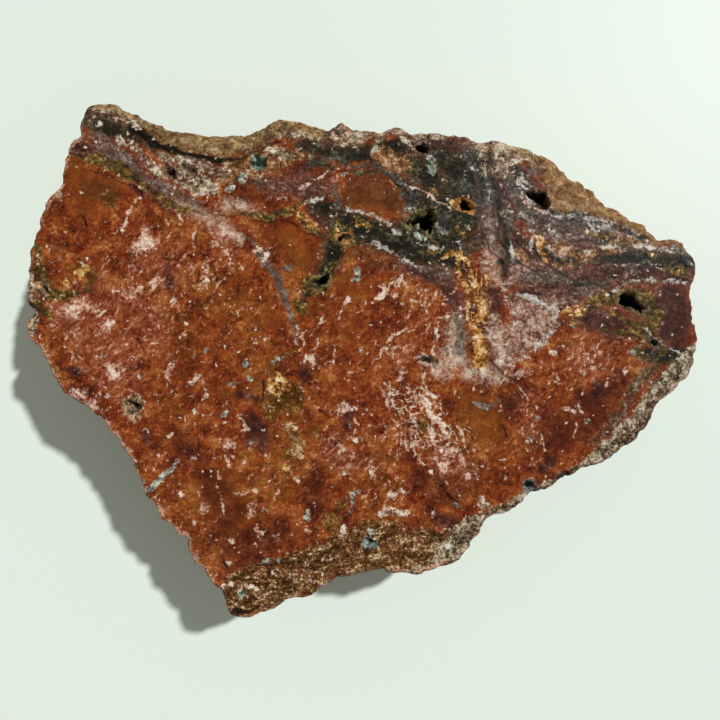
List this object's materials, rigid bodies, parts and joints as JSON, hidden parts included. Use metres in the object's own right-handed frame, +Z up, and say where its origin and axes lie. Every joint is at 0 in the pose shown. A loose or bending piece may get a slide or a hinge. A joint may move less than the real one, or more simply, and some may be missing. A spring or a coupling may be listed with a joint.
{
  "type": "rough jasper slab",
  "caption": "Sawn slab of brecciated red jasper with a natural broken rim and open vugs, for display or as lapidary rough; rests on its flat lower face.",
  "frame": {"origin": "middle of the bounding box, on the surface that the slab rests on", "axes": "+Z up out of the sawn face with the vugs, +X towards the right-hand end in the picture, +Y towards the picture's top edge"},
  "size_m": [0.1525, 0.1163, 0.021],
  "materials": {
    "jasper": null
  },
  "bodies": {
    "root": {"jasper_slab": "jasper"}
  },
  "joints": []
}
